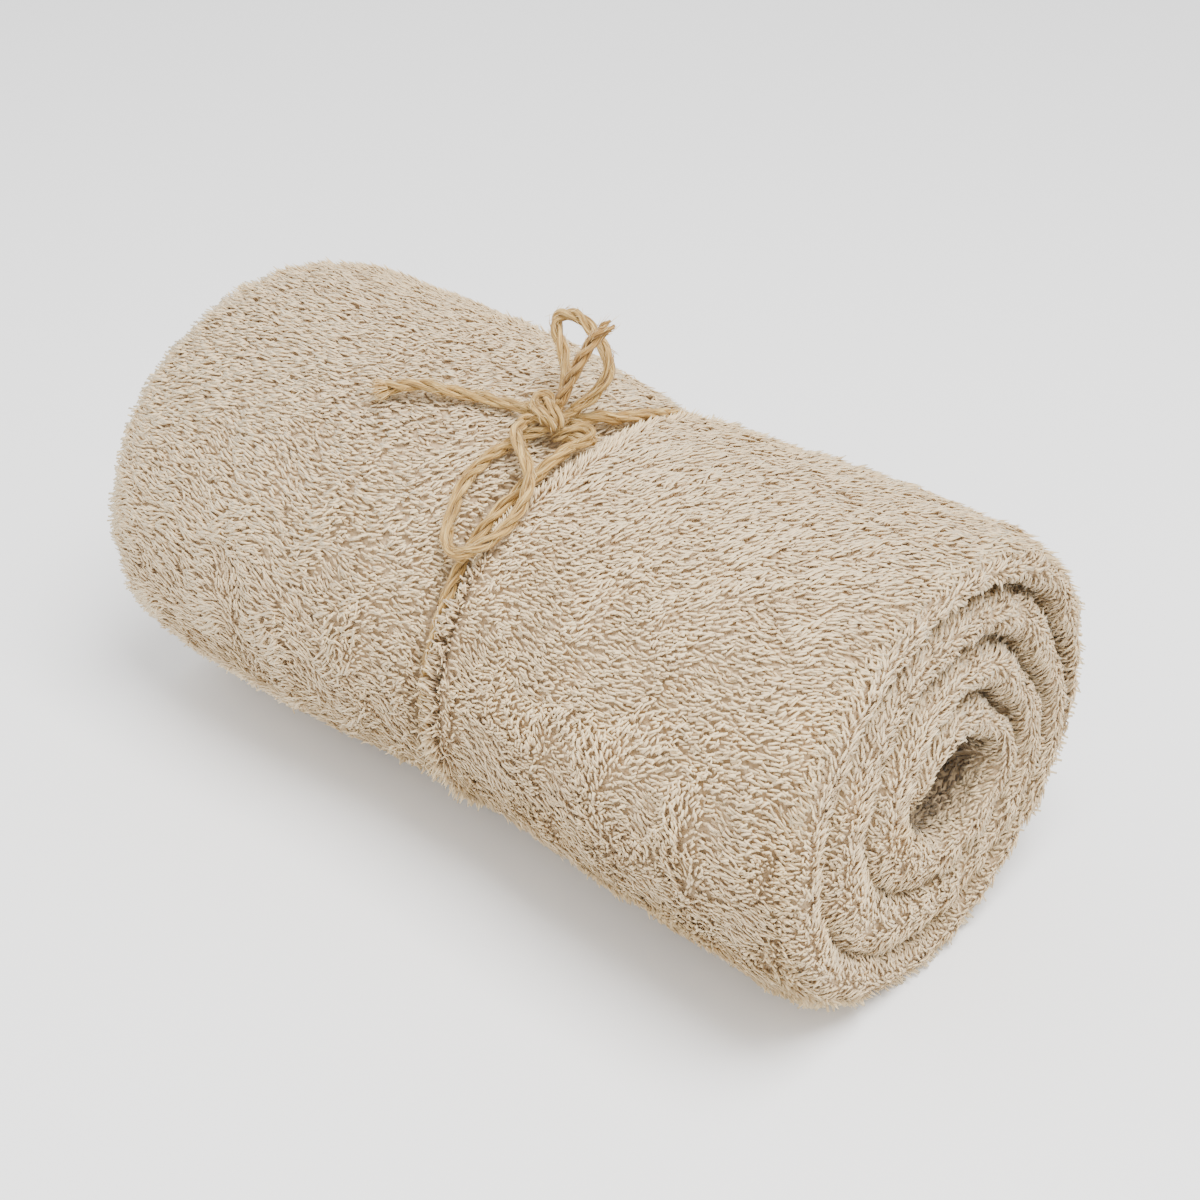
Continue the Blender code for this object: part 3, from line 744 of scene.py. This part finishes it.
def twine_hairs():
    """Hairs that stand off the strands, and the brushes at the two free ends."""
    starts, directions, bends, lengths, radii = [], [], [], [], []
    shares = [0.5, 1.0, 1.0, 1.0, 1.0] + [0.9] * (len(ALL_CURVES) - 5)
    for curve, share in zip(ALL_CURVES, shares):
        length = curve_length(curve)
        count = int(length * HAIRS_PER_METRE * share)
        centres = resample(curve, max(20, int(length / 0.001)))
        ahead, side, across = moving_frames(centres)
        place = rng.integers(1, len(centres) - 1, count)
        turn = rng.uniform(0.0, 2.0 * math.pi, count)
        out = np.cos(turn)[:, None] * side[place] + np.sin(turn)[:, None] * across[place]
        heading = np.where(rng.random(count) < 0.7, 1.0, -1.0)[:, None] * ahead[place]
        starts.append(centres[place] + out * TWINE_RADIUS * 0.92)
        lift = rng.uniform(0.08, 0.75, count) ** 1.6
        sideways = np.cross(heading, out) * rng.normal(0.0, 0.28, count)[:, None]
        directions.append(unit(heading + out * lift[:, None] + sideways))
        bends.append(rng.normal(0.0, 0.16, (count, 3)) - out * (0.25 * lift)[:, None])
        lengths.append(rng.uniform(0.0018, 0.0058, count))
        radii.append(rng.uniform(0.00006, 0.00013, count))
    for curve, count, spread, reach in BRUSHES:
        ahead, side, across = moving_frames(resample(curve, 60))
        turn = rng.uniform(0.0, 2.0 * math.pi, count)
        off = np.sqrt(rng.random(count))
        out = np.cos(turn)[:, None] * side[-1] + np.sin(turn)[:, None] * across[-1]
        starts.append(curve[-1] + out * (off * TWINE_RADIUS * 1.15)[:, None] - ahead[-1] * 0.0035)
        stray = rng.normal(0.0, 0.07, (count, 3))
        directions.append(unit(ahead[-1] + out * (spread * off)[:, None] + stray))
        bends.append(rng.normal(0.0, 0.10, (count, 3)))
        lengths.append(rng.uniform(0.6, 1.0, count) * reach)
        radii.append(rng.uniform(0.00013, 0.00024, count))
    starts, directions, bends = np.vstack(starts), np.vstack(directions), np.vstack(bends)
    lengths, radii = np.concatenate(lengths), np.concatenate(radii)
    tints = rng.permutation(np.linspace(0.0, 1.0, len(starts)))
    points, triangles, uv = hair_mesh(starts, directions, bends, lengths, radii, tints)
    make_piece("jute_hairs", points, triangles, FIBRE, uv=("OFBake", uv))


twine_hairs()

# ---------------------------------------------------------------- the towel's ground cloth
SKIN_COLUMNS = 206
SKIN_SIDE_STEPS = 50
SKIN_RIM_STEPS = 5
SKIN_TURN_STEPS = 10
SKIN_INSET = 0.0027


def skin_columns():
    """Degrees turned from the outer hem, closer together where the hem rises."""
    plain = np.linspace(0.0, 355.8, SKIN_COLUMNS - 6)
    return np.concatenate([plain, [356.5, 357.2, 357.9, 358.5, 359.1, 359.6]])


def add_points(turned, from_end, depth, end):
    """Surface points for columns of the roll."""
    angle = FREE_EDGE_ANGLE - turned
    along = end * (ROLL_LENGTH / 2 - from_end)
    fade = 1.0 - depth / MEAN_RADIUS
    extra = side_depth(angle, along) * fade * fade
    extra = extra + hem_step(turned) * np.maximum(0.0, 1.0 - depth / TURN)
    return roll_place(angle, along, depth + extra, depth / MEAN_RADIUS)


def rim_row(turned, step, end):
    """One ring of points where an end rounds over to the side."""
    last_bend = math.acos(1.0 - HEM_THICKNESS / RIM_DEPTH)
    depth = RIM_DEPTH * (1.0 - math.cos(last_bend * step / SKIN_RIM_STEPS))
    return add_points(turned, np.full(len(turned), end_drop(depth)), np.full(len(turned), depth), end)


def build_skin():
    """Points and faces of the roll's surface: side rings, rims and two spiral ends.

    Each face comes with three facts: its end (-1 or 1, and 0 on the side), its place across the
    ridge (0 to 1) and how deep it has sunk along the roll.
    """
    turned = skin_columns()
    angle = FREE_EDGE_ANGLE - turned
    columns = len(turned)
    rows = [rim_row(turned, step, -1) for step in range(SKIN_RIM_STEPS, 0, -1)]
    waist = waist_along(angle)
    for step in range(-SKIN_SIDE_STEPS, SKIN_SIDE_STEPS + 1):
        share = abs(step) / SKIN_SIDE_STEPS
        way = math.copysign(1.0, step)
        reach = ROLL_LENGTH / 2 - RIM_LENGTH - way * waist
        along = waist + way * reach * (0.45 * share + 0.55 * share * share)
        rows.append(roll_place(angle, along, side_depth(angle, along) + hem_step(turned)))
    rows += [rim_row(turned, step, 1) for step in range(1, SKIN_RIM_STEPS + 1)]
    points = np.vstack(rows)
    index = np.arange(len(points)).reshape(len(rows), columns)
    faces = []
    face_facts = []
    for low, high in zip(index, index[1:]):
        for column in range(columns):
            after = (column + 1) % columns
            faces.append((low[after], high[after], high[column], low[column]))
            face_facts.append((0, 0.5, 0.0))
    extra_points = []
    start = len(points)
    levels = TURN_COUNT * SKIN_TURN_STEPS
    for end, outer_ring in ((1, index[-1]), (-1, index[0])):
        grid = np.empty((levels + 1, columns), dtype=int)
        grid[0] = outer_ring
        hollow = np.zeros((levels + 1, columns))
        for level in range(1, levels + 1):
            turn_index = (level - 1) // SKIN_TURN_STEPS + 1
            part = level / SKIN_TURN_STEPS - (turn_index - 1)
            across = 0.5 - 0.5 * math.cos(math.pi * part)
            across = 0.5 * (across + part)
            outer, inner = turn_boundary(turn_index - 1, turned), turn_boundary(turn_index, turned)
            depth = outer + (inner - outer) * across
            outer, inner = valley_depth(turn_index - 1, turned), valley_depth(turn_index, turned)
            hollow[level] = ridge_drop(across, outer, inner, end < 0, sinking(turn_index, turned))
            row_points = add_points(turned, end_drop(depth) + hollow[level], depth, end)
            first_column = 1 if level <= SKIN_TURN_STEPS else 0
            grid[level, 0] = outer_ring[0]
            grid[level, first_column:] = start + np.arange(columns - first_column)
            extra_points.append(row_points[first_column:])
            start += columns - first_column
        floor_drop = np.full(1, CORE_DEPTH + CORE_FLOOR_EXTRA)
        extra_points.append(add_points(np.zeros(1), floor_drop, np.full(1, MEAN_RADIUS), end))
        centre_index = start
        start += 1
        for level in range(levels):
            for column in range(columns):
                quad = []
                for across, onward in ((0, 0), (1, 0), (1, 1), (0, 1)):
                    step, row = column + across, level + onward
                    if step == columns:
                        step = 0
                        row = min(row + SKIN_TURN_STEPS, levels)
                    corner = int(grid[row, step])
                    if corner not in quad:
                        quad.append(corner)
                if len(quad) >= 3:
                    faces.append(tuple(quad[::-1] if end < 0 else quad))
                    middle = (level % SKIN_TURN_STEPS + 0.5) / SKIN_TURN_STEPS
                    sunk = 0.5 * (hollow[level, column] + hollow[level + 1, column])
                    face_facts.append((end, middle, sunk))
        for column in range(columns):
            corners = (int(grid[levels, column]), int(grid[levels, (column + 1) % columns]), centre_index)
            faces.append(corners[::-1] if end < 0 else corners)
            face_facts.append((end, 0.5, CORE_DEPTH))
    return np.vstack([points] + extra_points), faces, np.array(face_facts)


def face_frames(points, faces):
    """Corners, centre, normal and area of each face."""
    quads = np.array([face if len(face) == 4 else (*face, face[2]) for face in faces])
    a, b, c, d = (points[quads[:, k]] for k in range(4))
    cross = 0.5 * np.cross(c - a, d - b)
    area = np.linalg.norm(cross, axis=1)
    return quads, (a + b + c + d) / 4.0, unit(cross), area


skin_points, skin_faces, skin_facts = build_skin()
quads, centres, normals, areas = face_frames(skin_points, skin_faces)
vertex_normals = np.zeros_like(skin_points)
for corner in range(4):
    np.add.at(vertex_normals, quads[:, corner], normals * areas[:, None])
vertex_normals = unit(vertex_normals)
inset_points = skin_points - vertex_normals * SKIN_INSET
inset_points[:, 2] = np.maximum(inset_points[:, 2], ABOVE_SURFACE)
ground = make_piece("terry_ground_cloth", inset_points, skin_faces, ground_material())
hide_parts("towel_roll")

# ---------------------------------------------------------------- the looped pile
LOOP_LENGTH = 0.0053
LOOP_RADIUS = 0.00055
LOOP_GAP = 0.00117
PILE_PIECES = 5

# Lay of the loops on the side: angle round the roll, lean from along X towards the onward way
LAY_ANGLES = (-90.0, -20.0, 20.0, 50.0, 75.0, 95.0, 130.0, 180.0, 270.0)
LAY_LEANS = (0.0, 16.0, 20.0, 22.0, 30.0, 38.0, 32.0, 12.0, 0.0)


def wave_field(places, scale, seed):
    """Soft noise of about -1 to 1 over places in space, made of plain waves."""
    source = np.random.default_rng(seed)
    total = np.zeros(len(places))
    for octave, weight in ((1.0, 1.0), (1.9, 0.6), (3.3, 0.35)):
        for _ in range(4):
            way = unit(source.normal(size=3))
            waves = places @ way * (2.0 * math.pi * octave / scale)
            total += weight * np.sin(waves + source.uniform(0.0, 6.28))
    return total / 3.2


def scatter_roots():
    """Evenly spread roots on the surface: place, normal, face."""
    density = np.ones(len(areas))
    density[centres[:, 2] < 0.0015] = 0.35
    underside = (skin_facts[:, 0] == 0) & (normals[:, 2] < -0.80)
    density[underside] = np.minimum(density[underside], 0.5)
    valley = np.abs(skin_facts[:, 1] - 0.5) > 0.46
    density[(skin_facts[:, 0] != 0) & valley] = 0.4
    density[skin_facts[:, 2] > 0.015] = 0.9
    weights = areas * density
    count = int(weights.sum() / (LOOP_GAP ** 2) * 2.6)
    cumulative = np.cumsum(weights)
    picks = (np.arange(count) + rng.random(count)) * cumulative[-1] / count
    face = np.minimum(np.searchsorted(cumulative, picks), len(areas) - 1)
    s, t = rng.random(count)[:, None], rng.random(count)[:, None]
    corners = [skin_points[quads[face, k]] for k in range(4)]
    corner_normals = [vertex_normals[quads[face, k]] for k in range(4)]
    mix = [(1 - s) * (1 - t), s * (1 - t), s * t, (1 - s) * t]
    places = sum(m * c for m, c in zip(mix, corners))
    around = unit(sum(m * c for m, c in zip(mix, corner_normals)))
    order = rng.permutation(count)
    tree = search_tree(places)
    alive = np.ones(count, dtype=bool)
    kept = []
    place_list = places.tolist()
    for index in order.tolist():
        if not alive[index]:
            continue
        kept.append(index)
        for _, other, _ in tree.find_range(place_list[index], LOOP_GAP):
            alive[other] = False
    kept = np.array(kept)
    return places[kept], around[kept], face[kept]


def comb(places, around, face):
    """Direction in which each loop lies, its share on a rim, its angle and three soft noises."""
    angle = np.degrees(np.arctan2((places[:, 2] - AXIS_HEIGHT) / HALF_HEIGHT, -places[:, 1] / HALF_WIDTH))
    along_x = np.zeros_like(places)
    along_x[:, 0] = 1.0
    forward = unit(along_x - around * around[:, :1])
    onward = np.cross(around, forward)
    round_way = np.stack([0.0 * angle, np.sin(np.radians(angle)), np.cos(np.radians(angle))], axis=1)
    onward *= np.where(np.einsum("ij,ij->i", onward, round_way) < 0, -1.0, 1.0)[:, None]
    broad = wave_field(places, 0.085, 3)
    middle = wave_field(places, 0.038, 4)
    fine = wave_field(places, 0.017, 5)
    front = smooth((66.0 - angle) / 50.0)
    rough = smooth((34.0 - angle) / 40.0)
    lean = np.interp(angle, LAY_ANGLES, LAY_LEANS)
    lean = lean - 30.0 * front * smooth((-0.02 - places[:, 0]) / 0.06)
    lean = lean + broad * (9.0 + 12.0 * front + 22.0 * rough)
    lean = lean + middle * (12.0 + 10.0 * front + 26.0 * rough)
    lean = lean + fine * (9.0 + 5.0 * front + 12.0 * rough)
    lean = np.radians(lean + rng.normal(0.0, 8.0, len(places)) * (1.0 + 0.7 * front))
    way = forward * np.cos(lean)[:, None] + onward * np.sin(lean)[:, None]
    backwards_share = smooth((0.02 - places[:, 0]) / 0.14)
    way = np.where((rng.random(len(places)) < backwards_share)[:, None], -way, way)
    # On the ends the loops part along each ridge
    end = skin_facts[face, 0]
    phase = skin_facts[face, 1]
    radial = np.stack([np.zeros(len(places)), places[:, 1], places[:, 2] - AXIS_HEIGHT], axis=1)
    inward = -unit(square_to(radial, around))
    round_way = np.cross(around, inward)
    parting = np.clip((phase - 0.46) * 5.0, -1.0, 1.0)
    swirl = np.radians(rng.normal(0.0, 16.0, len(places)) + 24.0 * middle + 12.0 * fine)
    herring = unit(inward * (0.75 * parting)[:, None] + round_way * 0.62)
    herring = herring * np.cos(swirl)[:, None] + np.cross(around, herring) * np.sin(swirl)[:, None]
    way = np.where((end != 0)[:, None], herring, way)
    rim = smooth((np.abs(around[:, 0]) - 0.12) / 0.3) * (end == 0)
    return unit(way), rim, angle, broad, middle, fine


def build_pile():
    """The loops: where each stands and leans, which give way to the twine, and their meshes."""
    roots, around, face = scatter_roots()
    way, rim, angle, broad, middle, fine = comb(roots, around, face)
    total = len(roots)
    along = roots[:, 0]
    offset = along - waist_along(angle)
    hugging = bell(offset, 0.0075) * smooth((58.0 - angle) / 30.0) * (skin_facts[face, 0] == 0)
    toward = np.zeros_like(roots)
    toward[:, 0] = -np.sign(offset)
    toward = unit(square_to(toward, around))
    turned_over = rng.random(total) < 0.85 * hugging
    blend = np.where(turned_over, rng.uniform(0.45, 0.80, total), 0.20 * hugging)
    swerve = np.cross(around, way) * (rng.normal(0.0, 0.45, total) * hugging)[:, None]
    way = unit(way + swerve)
    way = unit(way * (1.0 - blend)[:, None] + toward * blend[:, None])
    on_end = skin_facts[face, 0] != 0
    # How deep a loop sits in a valley or the core: it is made shorter and given painted shade.
    hidden = smooth((skin_facts[face, 2] - 0.0045) / 0.0125)
    # The towel swells over the sunk strand low on the front, from the right and lower down from the left
    cover = np.where(offset > 0.0, smooth((42.0 - angle) / 26.0), smooth((-6.0 - angle) / 14.0))
    cover = cover * smooth((angle + 80.0) / 25.0) * bell(offset, 0.0090) * (skin_facts[face, 0] == 0)
    length = LOOP_LENGTH * (1.0 + 0.13 * rng.normal(size=total).clip(-2, 2) + 0.10 * middle - 0.05 * on_end)
    length = length * (1.0 - 0.20 * hidden) * (1.0 + 0.45 * cover)
    radius = LOOP_RADIUS * (1.0 + 0.12 * rng.normal(size=total).clip(-2, 2))
    steep = 58.0 + 9.0 * rng.normal(size=total) + 8.8 * rim + 8.0 * fine
    steep = np.radians(np.clip(steep, 25.0, 86.0))
    low = 11.0 + 10.0 * rng.normal(size=total) - 6.0 * on_end + 30.25 * rim + 9.0 * middle
    low = np.radians(np.clip(low, -12.0, 78.0))
    clump = 0.0005 * fine + 0.0004 * wave_field(roots, 0.009, 8)
    base = roots + around * (0.0030 * cover - SKIN_INSET - 0.0005 + clump)[:, None]
    foot_way = way * np.cos(steep)[:, None] + around * np.sin(steep)[:, None]
    knee = base + (length * 0.45)[:, None] * foot_way
    curl = np.cross(around, way) * rng.normal(0.0, 0.22, total)[:, None]
    tip_way = unit(way * np.cos(low)[:, None] + around * np.sin(low)[:, None] + curl)
    tip = knee + (length * 0.60)[:, None] * tip_way
    tree = search_tree(np.vstack([resample(curve, max(4, int(curve_length(curve) / 0.0008)))
                                  for curve in ALL_CURVES]))
    clear = np.ones(total, dtype=bool)
    close_by = (np.abs(offset) < 0.035) | ((angle > 50.0) & (angle < 100.0) & (np.abs(along + 0.03) < 0.05))
    for index in np.nonzero(close_by)[0].tolist():
        covers = cover[index] > 0.25
        gaps = []
        for spots in (knee, tip, base):
            core, _, gap = tree.find(spots[index].tolist())
            if covers and gap < TWINE_RADIUS + 0.0009 and spots is not base:
                away = spots[index] - np.array(core)
                away += around[index] * max(0.0, 0.8 * TWINE_RADIUS - float(away @ around[index]))
                spots[index] = np.array(core) + away / np.linalg.norm(away) * (TWINE_RADIUS + 0.0010)
                gap = TWINE_RADIUS + 0.0010
            gaps.append(gap)
        if covers:
            core = tree.find(tip[index].tolist())[0]
            edge = np.interp(angle[index], (-20.0, -8.0, 12.0, 42.0), (-0.0030, 0.0006, 0.0015, 0.0024))
            past = core[0] + edge + rng.normal(0.0, 0.0005) - tip[index][0]
            shift = max(0.0, past) if offset[index] > 0.0 else 0.0
            tip[index][0] += shift
            knee[index][0] += 0.6 * shift
        clear[index] = min(gaps) > TWINE_RADIUS + (0.0002 if covers else 0.0008)
    keep = np.nonzero(clear)[0]
    tints = 0.5 + 0.13 * rng.normal(size=total) + 0.10 * middle + 0.08 * broad
    order = np.argsort(tints[keep])
    ranks = np.empty(len(keep))
    ranks[order] = np.linspace(0.0, 1.0, len(keep))
    ranks = HOLLOW_SHADE_TINTS + 0.03 + (0.97 - HOLLOW_SHADE_TINTS) * ranks
    # Loops sunk in the valleys and the core take the lowest tints: painted shade, darker the deeper they
    # sit.
    ranks = np.where(hidden[keep] > 0.02, np.minimum(ranks, HOLLOW_SHADE_TINTS * (1.0 - hidden[keep])), ranks)
    # Each loop: a foot, a ring at its bend and a blunt edge at its tip
    base, knee, tip = base[keep], knee[keep], tip[keep]
    way, around, radius, tip_way = way[keep], around[keep], radius[keep], tip_way[keep]
    side = unit(np.cross(around, way))
    bend_axis = unit(unit(knee - base) + tip_way)
    turn = np.arange(3) * 2.0 * math.pi / 3.0 - math.pi / 2.0
    ring_side = unit(square_to(side, bend_axis))
    ring = round_rings(knee, radius, turn, ring_side, np.cross(bend_axis, ring_side))
    edge_side = unit(square_to(side, tip_way)) * (radius * 0.62)[:, None]
    edge = np.stack([tip - edge_side, tip + edge_side], axis=1)
    points = np.concatenate([base[:, None, :], ring, edge], axis=1)
    points[..., 2] = np.maximum(points[..., 2], 0.0003)
    # Ring: 1 below, 2 on the side's positive hand, 3 on its negative one; edge: 4 negative, 5 positive
    faces = np.array([(0, 2, 1), (0, 3, 2), (0, 1, 3), (1, 2, 5), (1, 5, 4), (1, 4, 3),
                      (2, 3, 4), (2, 4, 5)])
    # Heights run from a loop's foot to its tip; the pile material darkens them towards the foot as painted
    # shade.
    heights = np.array([0.0, 0.5, 0.5, 0.5, 1.0, 1.0])
    widths = np.array([0.5, 0.5, 1.0, 0.0, 0.0, 1.0])
    material = pile_material()
    for number, chosen in enumerate(np.array_split(np.argsort(base[:, 0]), PILE_PIECES)):
        uv = tint_uv(faces, widths, heights, ranks[chosen])
        make_piece(f"terry_pile_{number + 1}", points[chosen].reshape(-1, 3),
                   repeated(faces, len(chosen), len(heights)), material, uv=("OFBake", uv))


build_pile()

# ---------------------------------------------------------------- floor and light
floor_mesh = bpy.data.meshes.new("floor")
floor_mesh.from_pydata([(-3, -3, 0), (3, -3, 0), (3, 3, 0), (-3, 3, 0)], [], [(0, 1, 2, 3)])
floor = bpy.data.objects.new("floor", floor_mesh)
bpy.context.collection.objects.link(floor)
floor_mesh.materials.append(
    new_material("pale_floor", {"Base Color": (0.90, 0.90, 0.90, 1.0), "Roughness": 0.9})[0])

world = bpy.data.worlds.new("studio")
world.use_nodes = True
world.node_tree.nodes["Background"].inputs["Color"].default_value = (1.0, 1.0, 1.0, 1.0)
world.node_tree.nodes["Background"].inputs["Strength"].default_value = 1.40
bpy.context.scene.world = world


def area_light(name, place, aim, size, power):
    data = bpy.data.lights.new(name, "AREA")
    data.size = size
    data.energy = power
    lamp = bpy.data.objects.new(name, data)
    lamp.location = place
    lamp.rotation_euler = (Vector(place) - Vector(aim)).to_track_quat("Z", "Y").to_euler()
    bpy.context.collection.objects.link(lamp)


area_light("key", (0.45, -0.10, 1.35), (0.0, 0.0, 0.08), 0.7, 36.0)
area_light("fill", (-0.9, -0.9, 0.7), (0.0, 0.0, 0.08), 1.0, 6.0)
